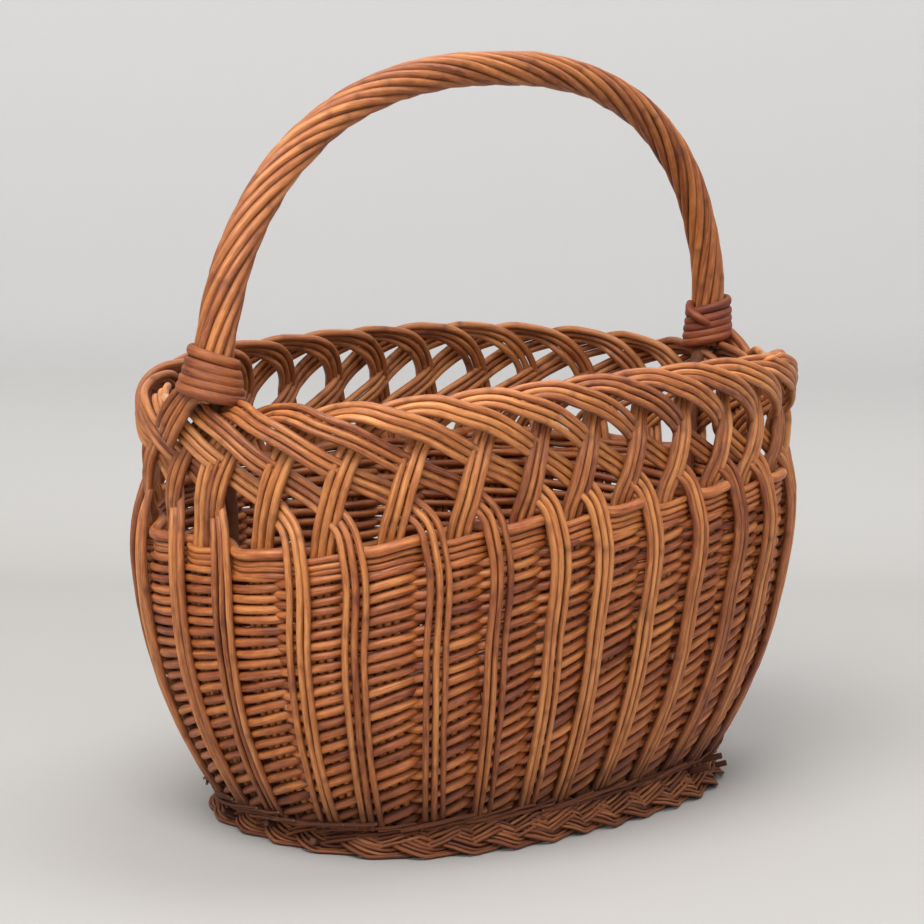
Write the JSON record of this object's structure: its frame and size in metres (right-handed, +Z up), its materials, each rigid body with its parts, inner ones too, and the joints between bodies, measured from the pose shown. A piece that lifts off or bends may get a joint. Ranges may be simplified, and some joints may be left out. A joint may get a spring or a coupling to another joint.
{
  "type": "sewing basket",
  "caption": "Open oval willow basket for sewing things, with close woven sides, a lattice border, a plaited foot and one fixed twisted bow handle.",
  "frame": {"origin": "middle of the basket's footprint, on the surface that it stands on", "axes": "+Z up, X along the length and the handle's plane, Y across the width"},
  "size_m": [0.4401, 0.287, 0.4372],
  "materials": {
    "stake_willow": "satin",
    "weave_willow": "satin",
    "inner_willow": "satin",
    "foot_willow": "matte",
    "handle_willow": "satin",
    "lapping_willow": "satin"
  },
  "bodies": {
    "root": {"foot_plait": "foot_willow", "base_long_sticks": "inner_willow", "base_cross_sticks": "inner_willow", "base_weave": "inner_willow", "siding_lower": "weave_willow", "siding_upper": "weave_willow", "waist_wale": "weave_willow", "stake_group_01": "stake_willow", "stake_group_02": "stake_willow", "stake_group_03": "stake_willow", "stake_group_04": "stake_willow", "stake_group_05": "stake_willow", "stake_group_06": "stake_willow", "stake_group_07": "stake_willow", "stake_group_08": "stake_willow", "stake_group_09": "stake_willow", "stake_group_10": "stake_willow", "stake_group_11": "stake_willow", "stake_group_12": "stake_willow", "stake_group_13": "stake_willow", "stake_group_14": "stake_willow", "stake_group_15": "stake_willow", "stake_group_16": "stake_willow", "stake_group_17": "stake_willow", "stake_group_18": "stake_willow", "stake_group_19": "stake_willow", "stake_group_20": "stake_willow", "stake_group_21": "stake_willow", "stake_group_22": "stake_willow", "stake_group_23": "stake_willow", "stake_group_24": "stake_willow", "stake_group_25": "stake_willow", "stake_group_26": "stake_willow", "stake_group_27": "stake_willow", "stake_group_28": "stake_willow", "stake_group_29": "stake_willow", "stake_group_30": "stake_willow", "handle_core": "inner_willow", "handle_rod_01": "handle_willow", "handle_rod_02": "handle_willow", "handle_rod_03": "handle_willow", "handle_rod_04": "handle_willow", "handle_rod_05": "handle_willow", "handle_rod_06": "handle_willow", "handle_rod_07": "handle_willow", "handle_rod_08": "handle_willow", "handle_rod_09": "handle_willow", "handle_rod_10": "handle_willow", "left_lapping": "lapping_willow", "right_lapping": "lapping_willow", "left_tails": "handle_willow", "right_tails": "handle_willow"}
  },
  "joints": []
}
